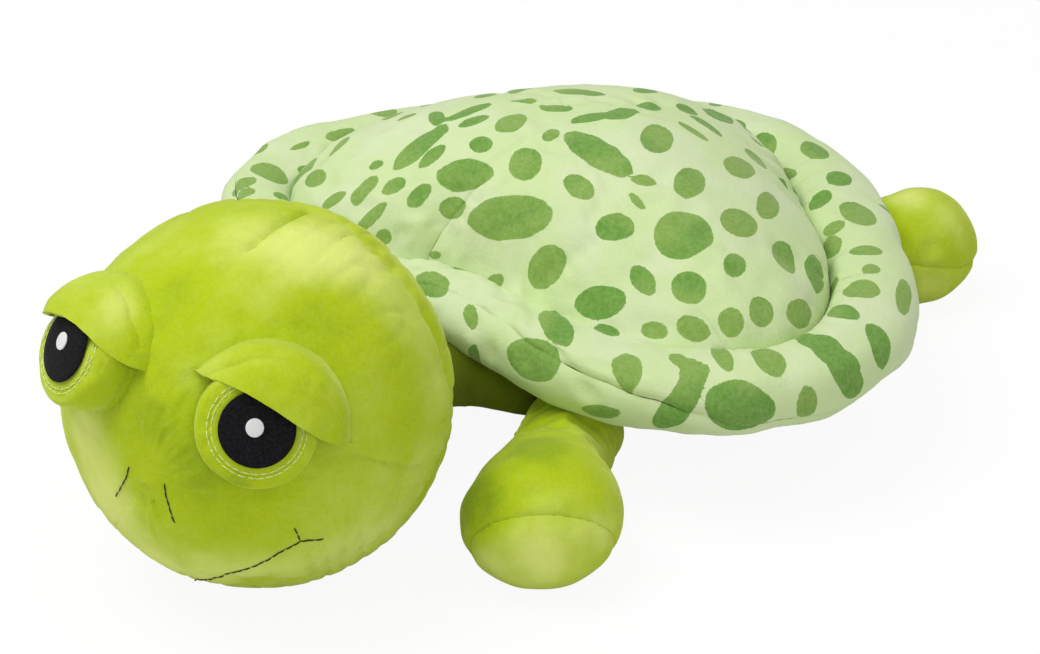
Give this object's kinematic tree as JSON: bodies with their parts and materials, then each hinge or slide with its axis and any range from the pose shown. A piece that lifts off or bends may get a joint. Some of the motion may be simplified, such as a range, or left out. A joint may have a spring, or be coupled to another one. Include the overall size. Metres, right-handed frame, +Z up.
{
  "type": "plush turtle",
  "caption": "Stuffed toy turtle lying on its belly, with a ball head, heavy-lidded padded eyes, a spotted dome shell edged by a fat stuffed roll, a soft neck and round-footed legs.",
  "frame": {"origin": "on the surface that the turtle lies on, in the middle of the flat patch of its belly, under the shell", "axes": "+Z up, -Y towards the turtle's head, +X towards the turtle's left side"},
  "size_m": [0.3732, 0.5229, 0.1687],
  "materials": {
    "lime_velboa": "short-pile plush, soft",
    "spotted_velboa": "short-pile plush with printed darker green spots",
    "fibre": "loose polyester fibre",
    "black_felt": "flat felt",
    "white_felt": "flat felt",
    "eye_thread": "sewing thread",
    "dark_thread": "embroidery thread"
  },
  "bodies": {
    "shell": {"shell_dome_front": "spotted_velboa", "shell_dome_left": "spotted_velboa", "shell_dome_rear": "spotted_velboa", "shell_dome_right": "spotted_velboa", "shell_rim_top": "spotted_velboa", "shell_rim_under": "spotted_velboa", "shell_rim_stuffing": "fibre", "belly_panel": "lime_velboa", "body_stuffing": "fibre"},
    "neck": {"neck_skin": "lime_velboa", "neck_stuffing": "fibre"},
    "head": {"head_face_panel": "lime_velboa", "head_nape_panel": "lime_velboa", "head_stuffing": "fibre", "eye_cup_left": "lime_velboa", "eye_cup_right": "lime_velboa", "eye_stuffing_left": "fibre", "eye_stuffing_right": "fibre", "eye_pupil_left": "black_felt", "eye_pupil_right": "black_felt", "eye_highlight_left": "white_felt", "eye_highlight_right": "white_felt", "eye_stitching_left": "eye_thread", "eye_stitching_right": "eye_thread", "eyelid_left": "lime_velboa", "eyelid_right": "lime_velboa", "nostril_thread_left": "dark_thread", "nostril_thread_right": "dark_thread", "mouth_thread": "dark_thread"},
    "leg_front_left": {"leg_panel_front_left": "lime_velboa", "sole_panel_front_left": "lime_velboa", "leg_stuffing_front_left": "fibre"},
    "leg_front_right": {"leg_panel_front_right": "lime_velboa", "sole_panel_front_right": "lime_velboa", "leg_stuffing_front_right": "fibre"},
    "leg_rear_left": {"leg_panel_rear_left": "lime_velboa", "sole_panel_rear_left": "lime_velboa", "leg_stuffing_rear_left": "fibre"},
    "leg_rear_right": {"leg_panel_rear_right": "lime_velboa", "sole_panel_rear_right": "lime_velboa", "leg_stuffing_rear_right": "fibre"}
  },
  "joints": [
    {"name": "neck_turn", "type": "hinge", "parent": "shell", "child": "neck", "pos_m": [0, -0.082, 0.028], "axis": [0, 0, 1], "range_deg": [-6, 6], "stiffness_Nm_per_rad": 0.8},
    {"name": "head_nod", "type": "hinge", "parent": "neck", "child": "head", "pos_m": [0, -0.152, 0.044], "axis": [-1, 0, 0], "range_deg": [-3, 12], "stiffness_Nm_per_rad": 1.5},
    {"name": "leg_front_left_swing", "type": "hinge", "parent": "shell", "child": "leg_front_left", "pos_m": [0.062, -0.078, 0.0225], "axis": [0, 0, 1], "range_deg": [-3, 10], "stiffness_Nm_per_rad": 0.3},
    {"name": "leg_front_right_swing", "type": "hinge", "parent": "shell", "child": "leg_front_right", "pos_m": [-0.062, -0.078, 0.0225], "axis": [0, 0, 1], "range_deg": [-10, 3], "stiffness_Nm_per_rad": 0.3},
    {"name": "leg_rear_left_swing", "type": "hinge", "parent": "shell", "child": "leg_rear_left", "pos_m": [0.062, 0.092, 0.0225], "axis": [0, 0, 1], "range_deg": [-12, 8], "stiffness_Nm_per_rad": 0.3},
    {"name": "leg_rear_right_swing", "type": "hinge", "parent": "shell", "child": "leg_rear_right", "pos_m": [-0.062, 0.092, 0.0225], "axis": [0, 0, 1], "range_deg": [-8, 12], "stiffness_Nm_per_rad": 0.3}
  ]
}
